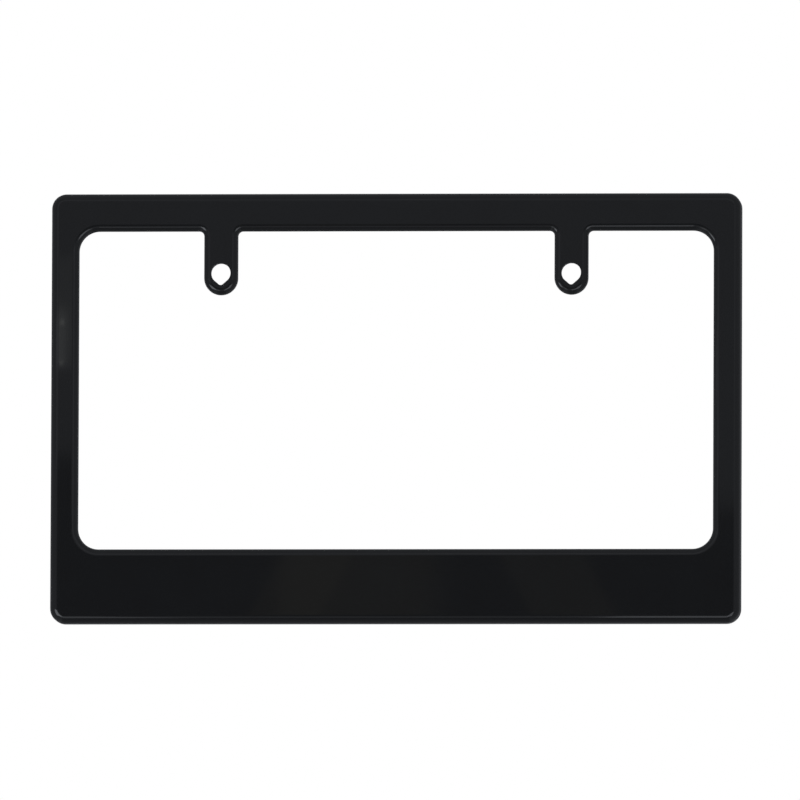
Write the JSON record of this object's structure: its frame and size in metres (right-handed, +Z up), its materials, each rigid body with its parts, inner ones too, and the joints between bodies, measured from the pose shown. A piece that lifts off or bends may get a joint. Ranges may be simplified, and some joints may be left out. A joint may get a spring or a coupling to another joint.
{
  "type": "number plate holder",
  "caption": "Slim moulded frame round a number plate, with a rolled outer skirt, a deep lower bar and hanging screw tabs with drop-shaped holes.",
  "frame": {"origin": "midway between the two screw holes, in the plane where the frame seats on the front of the plate", "axes": "+X to the right seen from in front, +Z up, +Y towards the vehicle, so the face looks along -Y"},
  "size_m": [0.35, 0.012, 0.218],
  "materials": {
    "moulded_plastic": "gloss black, as moulded"
  },
  "bodies": {
    "root": {"plate_frame": "moulded_plastic"}
  },
  "joints": []
}
